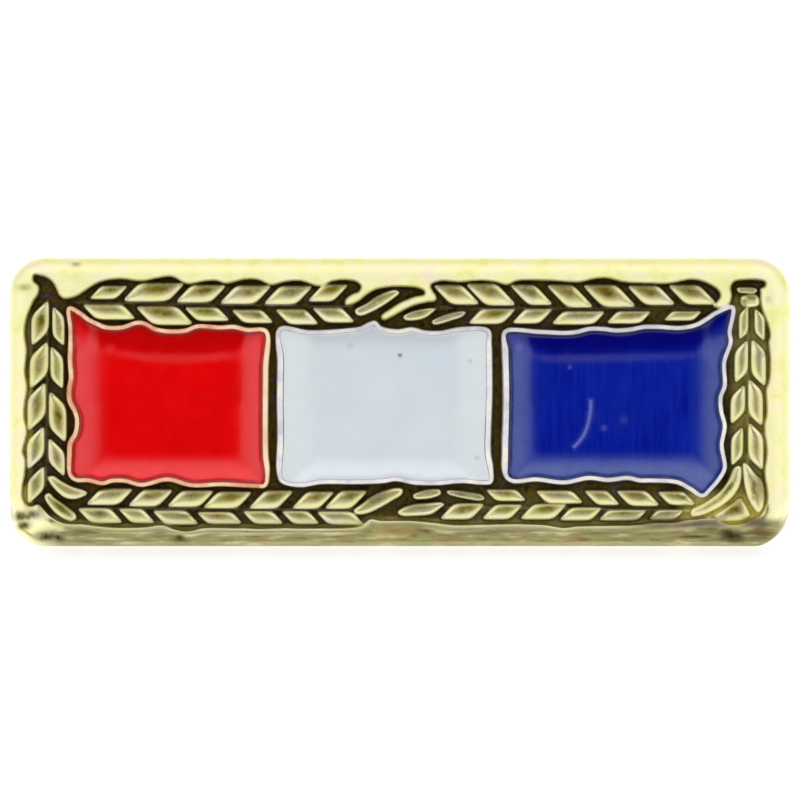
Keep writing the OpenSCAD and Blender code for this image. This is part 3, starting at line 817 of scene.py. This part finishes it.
def enamel_mesh(name, wall, flat, seed, wide, fold, lip, drop, crease, marks=(), scratch=()):
    """A soft enamel fill: a flat middle, slopes up to the wall that level out beside it, and a flat underside."""
    x0, x1, y0, y1 = flat
    edge, keep = moved(wall.p, 0.0637 * wide)
    border = Line(spaced(edge[keep], 0.05))
    lines = [(border.p, np.ones(len(border.p), bool), True)]
    for d in (0.013, 0.028, 0.055, 0.09, 0.13, 0.18):
        p, k = moved(border.p, d)
        lines.append((p, k, True))
    for cx, cy, r, _, _ in marks:
        for share, count in ((0.25, 6), (0.6, 10), (1.0, 14), (1.5, 16)):
            t = np.linspace(0, 2 * np.pi, count, endpoint=False)
            lines.append((at(np.stack([cx + share * r * np.cos(t), cy + share * r * np.sin(t)], -1)), np.ones(count, bool), True))
    if scratch:
        run = smooth(scratch, 0.04, closed=False)
        along = np.gradient(run, axis=0)
        along /= np.linalg.norm(along, axis=1)[:, None]
        for d in (-0.07, -0.035, 0.0, 0.035, 0.07):
            lines.append((run + d * np.stack([along[:, 1], -along[:, 0]], -1), np.ones(len(run), bool), False))
    pts = grid(x0 - 60, x1 + 60, y0 - 60, y1 + 60, 3.1, seed, 0.12)
    pts = pts[border.side(pts) > 0.03]
    pts = thinned(pts, lines, 0.045)
    p, faces, origin = triangulate(lines, pts)
    x, y = chart(p)
    mx, my = np.maximum(x0 - x, x - x1), np.maximum(y0 - y, y - y1)
    corner = 9
    qx, qy = mx + corner, my + corner
    round_box = np.hypot(np.maximum(qx, 0), np.maximum(qy, 0)) + np.minimum(np.maximum(qx, qy), 0) - corner
    mitred = (mx + my + np.sqrt((mx - my) ** 2 + 90)) / 2 - 2.5
    m = np.where(y > (y0 + y1) / 2, round_box, mitred) * STEP[0]
    soft = 0.12
    band = np.where(m > soft, m, np.where(m > -soft, (m + soft) ** 2 / (4 * soft), 0))
    d = np.maximum(border.side(p), 0)
    near, far = 0.04, 0.15
    ease = np.where(d < near, near - d + (far - near) / 2, np.where(d < far, (far - d) ** 2 / (2 * (far - near)), 0))
    high = 1 - drop * step_up(y0 + 4 - y, 0, 26)
    h = -0.170 + (0.088 * band + 0.058 * np.maximum(m, 0) ** 2) * high - 0.165 * ease
    h += np.clip(-0.040 - h, 0, lip) * np.clip(1 - d / 0.026, 0, 1) ** 2
    # the fold along the top of the flat middle
    fold_y = np.interp(x, [a for a, _ in fold], [b for _, b in fold])
    h -= crease * step_up(fold_y + 10 - y, 0, 20) * step_up(x, x0 - 22, x0 - 4) * (1 - step_up(x, x1 + 4, x1 + 22))
    for cx, cy, r, rise, _ in marks:
        h += rise * np.exp(-((x - cx) ** 2 + (y - cy) ** 2) / (0.7 * r) ** 2)
    if scratch:
        tree = KDTree(len(run))
        for i, (px, py) in enumerate(run):
            tree.insert((px, py, 0), i)
        tree.balance()
        off = np.array([tree.find((px, py, 0))[2] for px, py in p])
        h -= 0.004 * np.exp(-(off / 0.04) ** 2)
    h = np.minimum(h, -0.012)
    top = BAR_T + h
    ring = {}
    for i, where in enumerate(origin):
        for k in where:
            if k < len(border.p):
                ring[k] = i
    first = [ring[i] for i in range(len(border.p))]
    u, v, n = list(p[:, 0]), list(p[:, 1]), list(top)
    low = BAR_T - CELL_DEEP + GAP
    faces = [list(f) for f in faces]
    a, b, c = (p[[f[k] for f in faces]] for k in range(3))
    turn = (b[:, 0] - a[:, 0]) * (c[:, 1] - a[:, 1]) - (b[:, 1] - a[:, 1]) * (c[:, 0] - a[:, 0])
    faces = [f if t > 0 else f[::-1] for f, t in zip(faces, turn)]
    bottom = list(range(len(u), len(u) + len(first)))
    u += list(border.p[:, 0]); v += list(border.p[:, 1]); n += [low] * len(first)
    for i in range(len(first)):
        j = (i + 1) % len(first)
        faces.append([first[i], first[j], bottom[j], bottom[i]])
    bp, bf, bo = triangulate([(border.p, np.ones(len(border.p), bool), True)], [])
    name_of = {i: bottom[where[0]] for i, where in enumerate(bo)}
    for f in bf:
        a, b, c = bp[f[0]], bp[f[1]], bp[f[2]]
        t = (b[0] - a[0]) * (c[1] - a[1]) - (b[1] - a[1]) * (c[0] - a[0])
        f = f if t < 0 else f[::-1]
        faces.append([name_of[i] for i in f])
    u, v, n = np.array(u), np.array(v), np.array(n)
    x, y = chart(np.stack([u, v], -1))
    mx = np.maximum(x0 - x, x - x1)
    fold_y = np.interp(x, [a for a, _ in fold], [b for _, b in fold])
    up, down = fold_y - y, y - y1
    # painted shade: the band above the fold darker
    top_band_shade = step_up(up - 0.8 * np.maximum(mx, 0), -5, 13)
    # painted light: the band along the bottom lighter
    foot = step_up(down - np.maximum(mx, 0), -6, 5) * (0.35 + 0.65 * step_up(down, 0, 15))
    # painted light: the bands up the sides lighter
    side = (1 - 1.05 * drop * (1 - step_up(y, y0 - 22, y0 + 6))) * step_up(mx - 0.8 * np.maximum(up, 0), -8, 8) * (0.25 + 0.75 * step_up(mx, 2, 18)) * (1 - step_up(down - np.maximum(mx, 0), -6, 5))
    # painted shade: the enamel darker along the wall
    wall_edge_shade = np.zeros(len(x))
    wall_edge_shade[:len(d)] = 1 - step_up(d, 0.035, 0.135)
    scuff = np.zeros(len(x))
    if scratch:
        scuff[:len(off)] = 0.8 * np.exp(-(off / 0.05) ** 2)
    mark = np.zeros(len(x))
    for cx, cy, r, _, dark in marks:
        mark = np.maximum(mark, dark * np.exp(-(((x - cx) ** 2 + (y - cy) ** 2) / (0.85 * r) ** 2) ** 2))
    on_top = n > low + 0.01
    return build(name, world(u, v, n), faces, {
        "chart_x": x / 1000, "chart_y": y / 1000, "top_band_shade": top_band_shade * on_top, "foot": foot * on_top, "side": side * on_top,
        "mark": mark * on_top, "scuff": scuff * on_top, "wall_edge_shade": wall_edge_shade * on_top})


# ---------------------------------------------------------------- materials
def srgb(r, g, b):
    return tuple((c / 255 / 12.92) if c / 255 <= 0.04045 else ((c / 255 + 0.055) / 1.055) ** 2.4 for c in (r, g, b)) + (1,)


class Nodes:
    def __init__(self, name):
        self.mat = bpy.data.materials.new(name)
        self.mat.use_nodes = True
        self.tree = self.mat.node_tree
        self.bsdf = self.tree.nodes["Principled BSDF"]
        coord = self.tree.nodes.new("ShaderNodeTexCoord")
        scale = self.tree.nodes.new("ShaderNodeMapping")
        scale.inputs["Scale"].default_value = (1000, 1000, 1000)
        self.link(coord.outputs["Object"], scale.inputs["Vector"])
        self.mm = scale.outputs["Vector"]

    def link(self, a, b):
        self.tree.links.new(a, b)

    def value(self, name):
        node = self.tree.nodes.new("ShaderNodeAttribute")
        node.attribute_type = "GEOMETRY"
        node.attribute_name = name
        return node.outputs["Fac"]

    def charted(self, across, down):
        """Coordinates that run along and across the bar, so that a texture can be drawn out one way."""
        node = self.tree.nodes.new("ShaderNodeCombineXYZ")
        self.link(self.math("MULTIPLY", self.value("chart_x"), across), node.inputs["X"])
        self.link(self.math("MULTIPLY", self.value("chart_y"), down), node.inputs["Y"])
        return node.outputs["Vector"]

    def noise(self, scale, detail=2.0, rough=0.5, vector=None):
        node = self.tree.nodes.new("ShaderNodeTexNoise")
        node.inputs["Scale"].default_value = scale
        node.inputs["Detail"].default_value = detail
        node.inputs["Roughness"].default_value = rough
        self.link(vector or self.mm, node.inputs["Vector"])
        return node.outputs["Fac"]

    def ramp(self, fac, *stops):
        node = self.tree.nodes.new("ShaderNodeValToRGB")
        el = node.color_ramp.elements
        while len(el) < len(stops):
            el.new(0.5)
        for e, (pos, value) in zip(el, stops):
            e.position = pos
            e.color = value if isinstance(value, tuple) else (value, value, value, 1)
        self.link(fac, node.inputs["Fac"])
        return node.outputs["Color"]

    def math(self, op, a, b=None, clamp=False):
        node = self.tree.nodes.new("ShaderNodeMath")
        node.operation = op
        node.use_clamp = clamp
        for i, s in enumerate((a, b)):
            if s is None:
                continue
            if isinstance(s, (int, float)):
                node.inputs[i].default_value = s
            else:
                self.link(s, node.inputs[i])
        return node.outputs[0]

    def mix(self, fac, a, b):
        node = self.tree.nodes.new("ShaderNodeMix")
        node.data_type = "RGBA"
        for socket, s in ((node.inputs["Factor"], fac), (node.inputs["A"], a), (node.inputs["B"], b)):
            pass
        self.link(fac, node.inputs[0])
        for i, s in ((6, a), (7, b)):
            if isinstance(s, tuple):
                node.inputs[i].default_value = s
            else:
                self.link(s, node.inputs[i])
        return node.outputs[2]

    def blend(self, fac, a, b):
        node = self.tree.nodes.new("ShaderNodeMix")
        node.data_type = "FLOAT"
        self.link(fac, node.inputs[0])
        for i, s in ((2, a), (3, b)):
            if isinstance(s, (int, float)):
                node.inputs[i].default_value = s
            else:
                self.link(s, node.inputs[i])
        return node.outputs[0]

    def bump(self, height, strength, distance):
        node = self.tree.nodes.new("ShaderNodeBump")
        node.inputs["Strength"].default_value = strength
        node.inputs["Distance"].default_value = distance
        self.link(height, node.inputs["Height"])
        self.link(node.outputs["Normal"], self.bsdf.inputs["Normal"])
        return node


def gold():
    m = Nodes("gold_plate")
    m.bsdf.inputs["Specular IOR Level"].default_value = 0.1
    # bright plate, with its faint yellow, green and pink clouds
    bright = m.ramp(m.noise(1.5, 4, 0.6), (0.30, srgb(241, 241, 160)), (0.44, srgb(252, 247, 182)),
                    (0.56, srgb(253, 247, 196)), (0.70, srgb(252, 239, 208)))
    khaki = m.ramp(m.noise(2.6, 3, 0.6), (0.36, srgb(112, 103, 12)), (0.5, srgb(141, 128, 38)), (0.64, srgb(158, 131, 68)))
    deep_olive = m.ramp(m.noise(2.8, 3, 0.6), (0.36, srgb(76, 70, 6)), (0.52, srgb(102, 90, 26)), (0.66, srgb(98, 66, 26)))
    dark = m.ramp(m.noise(2.6, 4, 0.6), (0.36, srgb(36, 26, 0)), (0.5, srgb(66, 54, 6)), (0.64, srgb(54, 40, 20)))
    ground = m.ramp(m.noise(2.9, 4, 0.6), (0.36, srgb(42, 32, 2)), (0.47, srgb(86, 72, 18)), (0.56, srgb(62, 48, 20)), (0.68, srgb(84, 68, 80)))
    dark = m.mix(m.value("open_floor"), dark, ground)
    dark = m.mix(m.value("pale"), dark, m.ramp(m.noise(2.6, 3, 0.6), (0.36, srgb(200, 191, 84)), (0.5, srgb(216, 207, 112)), (0.64, srgb(222, 203, 134))))
    # painted highlight: a lighter purple-grey along the stems' crests
    dark = m.mix(m.math("MULTIPLY", m.value("stem_highlight"), 0.3), dark, m.ramp(m.noise(3.0, 2), (0.35, srgb(84, 72, 44)), (0.65, srgb(116, 100, 104))))
    # painted shade with mottled tarnish, olive, green and brown, on the lower bevel and the lower side
    bevel_shade_and_tarnish = m.ramp(m.noise(1.0, 4, 0.6, m.charted(30, 170)), (0.32, srgb(112, 106, 60)), (0.46, srgb(148, 140, 94)),
                   (0.56, srgb(158, 154, 106)), (0.68, srgb(206, 196, 152)))
    bevel_shade_and_tarnish = m.mix(m.ramp(m.noise(0.8, 2), (0.52, 0.0), (0.66, 0.45)), bevel_shade_and_tarnish, srgb(120, 134, 70))
    bevel_shade_and_tarnish = m.mix(m.ramp(m.noise(0.9, 2, 0.5, m.charted(24, 60)), (0.56, 0.0), (0.68, 0.5)), bevel_shade_and_tarnish, srgb(170, 132, 96))
    grain = m.noise(9.0, 3, 0.6)
    recess = m.value("recess")
    # painted shade in khaki: the olive spots on the leaves and the olive lines along the rim's edges
    c = m.mix(m.math("MULTIPLY", m.value("olive"), m.ramp(grain, (0.25, 0.75), (0.6, 1.0)), True), bright, khaki)
    # painted shade in deep olive: the leaves' upper sides, the darker spots and the fine grooves
    c = m.mix(m.math("MULTIPLY", m.value("shade"), m.ramp(grain, (0.25, 0.7), (0.6, 0.95)), True), c, deep_olive)
    c = m.mix(m.value("bevel_shade_and_tarnish"), c, bevel_shade_and_tarnish)
    c = m.mix(m.value("tan"), c, m.ramp(m.noise(1.2, 3, 0.6, m.charted(30, 70)), (0.36, srgb(208, 194, 138)), (0.5, srgb(180, 162, 96)), (0.64, srgb(174, 138, 104))))
    c = m.mix(m.math("MULTIPLY", m.value("band"), 0.75), c, m.ramp(m.noise(1.6, 3, 0.6), (0.36, srgb(166, 150, 126)), (0.62, srgb(132, 112, 98))))
    c = m.mix(m.value("red_wall"), c, m.ramp(m.noise(1.6, 3, 0.6), (0.35, srgb(238, 160, 124)), (0.50, srgb(248, 192, 155)), (0.62, srgb(253, 226, 184)), (0.72, srgb(252, 214, 204))))
    c = m.mix(m.math("MULTIPLY", m.value("cream"), m.ramp(m.noise(1.3, 2), (0.4, 0.85), (0.66, 0.45))), c, srgb(255, 238, 198))
    c = m.mix(m.value("silver_wall"), c, m.ramp(m.noise(1.8, 3, 0.6), (0.34, srgb(212, 213, 218)), (0.5, srgb(236, 232, 238)), (0.66, srgb(252, 248, 232))))
    c = m.mix(m.value("satin"), c, m.ramp(m.noise(3.2, 4, 0.65), (0.3, srgb(204, 186, 108)), (0.5, srgb(222, 206, 130)), (0.7, srgb(236, 216, 152))))
    # tarnish and stains, with painted shade on the top silver walls
    tarnish_and_shade = m.math("MULTIPLY", m.value("tarnish_and_shade"), m.ramp(m.noise(7.0, 3, 0.6), (0.32, 0.78), (0.55, 1.0)), True)
    c = m.mix(tarnish_and_shade, c, m.ramp(m.noise(4.0, 3, 0.6), (0.35, srgb(30, 26, 4)), (0.65, srgb(78, 68, 22))))
    c = m.mix(recess, c, dark)
    m.link(c, m.bsdf.inputs["Base Color"])
    dull = m.math("MAXIMUM", recess, m.math("MULTIPLY", tarnish_and_shade, 0.8))
    film = m.math("MAXIMUM", m.value("red_wall"), m.value("silver_wall"))
    metal = m.math("MULTIPLY", m.blend(dull, 1.0, 0.55), m.blend(m.math("MULTIPLY", m.value("pale"), recess), 1.0, 0.6))
    m.link(m.math("MINIMUM", metal, m.blend(film, 1.0, 0.3)), m.bsdf.inputs["Metallic"])
    # rougher under the painted shade and on the lower bevel's painted shade and tarnish
    worn_and_shaded = m.math("MAXIMUM", m.value("olive"), m.math("MAXIMUM", m.value("bevel_shade_and_tarnish"), m.value("shade")))
    rough = m.blend(worn_and_shaded, m.ramp(m.noise(2.2, 3), (0.3, 0.20), (0.7, 0.30)), 0.46)
    rough = m.blend(m.value("satin"), rough, 0.42)
    rough = m.math("MAXIMUM", m.blend(dull, rough, 0.5), m.blend(film, 0.0, 0.5))
    m.link(m.blend(tarnish_and_shade, rough, 0.85), m.bsdf.inputs["Roughness"])
    m.bump(m.noise(26.0, 4, 0.65), 0.35, 0.000004)
    return m.mat


def enamel(name, tones, rough, top_band_shade_tone, side, foot, wall_edge_shade, mark, streak=None, scuff=None):
    m = Nodes(name)
    c = m.ramp(m.noise(0.9, 3, 0.5), *tones)
    if streak:
        c = m.mix(m.ramp(m.noise(1.0, 3, 0.55, m.charted(190, 14)), (0.40, 0.0), (0.66, 0.34)), c, streak)
    cloud = m.ramp(m.noise(2.4, 3, 0.6), (0.3, 0.72), (0.65, 1.0))
    # painted light on the side bands
    c = m.mix(m.math("MULTIPLY", m.value("side"), cloud), c, side)
    # painted light on the lower band
    c = m.mix(m.math("MULTIPLY", m.value("foot"), cloud), c, foot)
    # painted shade on the top band
    c = m.mix(m.value("top_band_shade"), c, top_band_shade_tone)
    # painted shade along the wall
    c = m.mix(m.math("MULTIPLY", m.value("wall_edge_shade"), m.ramp(m.noise(3.0, 2), (0.3, 0.6), (0.65, 0.95))), c, wall_edge_shade)
    c = m.mix(m.value("mark"), c, mark)
    if scuff:
        c = m.mix(m.value("scuff"), c, scuff)
    m.link(c, m.bsdf.inputs["Base Color"])
    m.bsdf.inputs["IOR"].default_value = 1.52
    m.link(m.ramp(m.noise(3.0, 2), (0.3, rough * 0.8), (0.7, rough * 1.25)), m.bsdf.inputs["Roughness"])
    m.bump(m.noise(3.2, 3, 0.5), 0.25, 0.000006)
    return m.mat


bar = bar_mesh()
parts = [(bar, "bar", "gold_plate", gold())]
# in each fill the top band, side bands, lower band and wall edge tones are painted shade and light
for node, slot, wall, flat, fold, lip, drop, crease, rough, colours, marks, scratch in (
        ("enamel_red", "red_enamel", walls[0], RED_FLAT, RED_FOLD, 0.05, 0.5, 0.036, 0.13,
         dict(tones=((0.3, srgb(220, 0, 2)), (0.7, srgb(232, 0, 4))), top_band_shade_tone=srgb(195, 0, 2), side=srgb(228, 46, 49),
              foot=srgb(246, 54, 58), wall_edge_shade=srgb(150, 16, 4), mark=srgb(240, 120, 120)), RED_MARKS, ()),
        ("enamel_white", "white_enamel", walls[1], WHITE_FLAT, WHITE_FOLD, 0.10, 0.3, 0.038, 0.16,
         dict(tones=((0.3, srgb(210, 221, 229)), (0.5, srgb(215, 223, 227)), (0.7, srgb(218, 225, 233))), top_band_shade_tone=srgb(201, 210, 215),
              side=srgb(217, 224, 227), foot=srgb(230, 238, 245), wall_edge_shade=srgb(222, 226, 226), mark=srgb(84, 92, 88)), WHITE_MARKS, ()),
        ("enamel_blue", "blue_enamel", walls[2], BLUE_FLAT, BLUE_FOLD, 0.05, 0.75, 0.038, 0.13,
         dict(tones=((0.3, srgb(1, 16, 138)), (0.7, srgb(4, 30, 154))), top_band_shade_tone=srgb(0, 2, 112), side=srgb(62, 78, 148),
              foot=srgb(78, 94, 162), wall_edge_shade=srgb(16, 28, 84), mark=srgb(120, 130, 190), streak=srgb(18, 48, 166), scuff=srgb(112, 122, 200)), BLUE_MARKS, BLUE_SCRATCH)):
    wide = broad(*chart(wall.p))
    piece = enamel_mesh(slot + "_fill", wall, flat, 11, wide, fold, lip, drop, crease, marks, scratch)
    parts.append((piece, node, slot, enamel(slot, rough=rough, **colours)))
for piece, node, slot, material in parts:
    piece.data.materials.append(material)
    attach(piece, "root")
    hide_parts(node)
    print(piece.name, len(piece.data.vertices), "vertices", sum(len(f.vertices) - 2 for f in piece.data.polygons), "triangles")

# ---------------------------------------------------------------- studio
NORMAL = Vector((0, -COS, SIN))
UP = Vector((0, SIN, COS))
PX = 783 / BAR_W
face = Vector(world(np.array(0.5 / PX), np.array(2.0 / PX), np.array(BAR_T)))


def towards(a, b):
    """A direction at angles to the right of the camera and over it."""
    a, b = math.radians(a), math.radians(b)
    return (NORMAL * (math.cos(a) * math.cos(b)) + Vector((1, 0, 0)) * (math.sin(a) * math.cos(b)) + UP * math.sin(b)).normalized()


def plane(name, centre, right, up, w, h, colour, glow=0.0):
    c = [centre + right * (sx * w / 2) + up * (sy * h / 2) for sx, sy in ((-1, -1), (1, -1), (1, 1), (-1, 1))]
    obj = build(name, c, [[0, 1, 2, 3]], smooth_faces=False)
    m = Nodes(name)
    m.link(m.ramp(m.noise(0.02, 2), (0.3, colour), (0.7, tuple(min(1, x * 1.01) for x in colour[:3]) + (1,))), m.bsdf.inputs["Base Color"])
    m.bsdf.inputs["Roughness"].default_value = 0.9
    m.bsdf.inputs["Specular IOR Level"].default_value = 0.0
    if glow:
        m.bsdf.inputs["Emission Color"].default_value = (1, 1, 1, 1)
        m.bsdf.inputs["Emission Strength"].default_value = glow
    obj.data.materials.append(m.mat)
    return obj


plane("floor", Vector((0, 0, 0)), Vector((1, 0, 0)), Vector((0, 1, 0)), 4.0, 4.0, (0.42, 0.42, 0.42, 1), 0.77)
# a dark card behind the camera, so that what faces the camera squarely mirrors nothing bright
d = towards(0, -6)
card_up = (UP - d * UP.dot(d)).normalized()
card_rows = np.linspace(-1, 1, 41)
card_x, card_y = (g.ravel() for g in np.meshgrid(card_rows, card_rows))
reach = np.maximum(np.abs(card_x) * 15.5 - 7.5, np.abs(card_y) * 21 - 12.5) / 8
card_points = [face + d * 0.6 + Vector((1, 0, 0)) * (0.6 * math.tan(math.radians(15.5)) * a) + card_up * (0.6 * math.tan(math.radians(21)) * b)
               for a, b in zip(card_x, card_y)]
card = build("dark_card", card_points, [[j * 41 + i, j * 41 + i + 1, (j + 1) * 41 + i + 1, (j + 1) * 41 + i] for j in range(40) for i in range(40)],
             {"fade": step_up(reach, 0, 1)}, smooth_faces=False)
m = Nodes("dark_card")
m.bsdf.inputs["Base Color"].default_value = (0.02, 0.02, 0.02, 1)
m.bsdf.inputs["Roughness"].default_value = 1.0
m.bsdf.inputs["Specular IOR Level"].default_value = 0.0
m.bsdf.inputs["Emission Color"].default_value = (1, 1, 1, 1)
m.link(m.value("fade"), m.bsdf.inputs["Emission Strength"])
card.data.materials.append(m.mat)
card.visible_camera = False


def softbox(name, a, b, distance, w, h, radiance):
    light = bpy.data.lights.new(name, "AREA")
    light.shape = "RECTANGLE"
    light.size, light.size_y = w, h
    light.energy = radiance * math.pi * w * h
    obj = bpy.data.objects.new(name, light)
    bpy.context.scene.collection.objects.link(obj)
    dd = towards(a, b)
    obj.location = face + dd * distance
    obj.rotation_euler = dd.to_track_quat("Z", "Y").to_euler()
    obj.visible_camera = False
    return obj


softbox("overhead", 0, 62, 0.45, 0.6, 0.35, 0.06)

scene = bpy.context.scene
w = bpy.data.worlds.new("studio")
scene.world = w
w.use_nodes = True
w.node_tree.nodes["Background"].inputs["Color"].default_value = (1, 1, 1, 1)
w.node_tree.nodes["Background"].inputs["Strength"].default_value = 1.0
scene.view_settings.view_transform = "Standard"
scene.view_settings.look = "None"

camera = bpy.data.cameras.new("camera")
camera.sensor_width = 36
camera.sensor_fit = "HORIZONTAL"
distance = 0.26
camera.lens = 36 * distance / (800 / PX / 1000)
camera.clip_start, camera.clip_end = 0.01, 20
eye = bpy.data.objects.new("camera", camera)
scene.collection.objects.link(eye)
eye.location = face + NORMAL * distance
eye.rotation_euler = NORMAL.to_track_quat("Z", "Y").to_euler()
scene.camera = eye
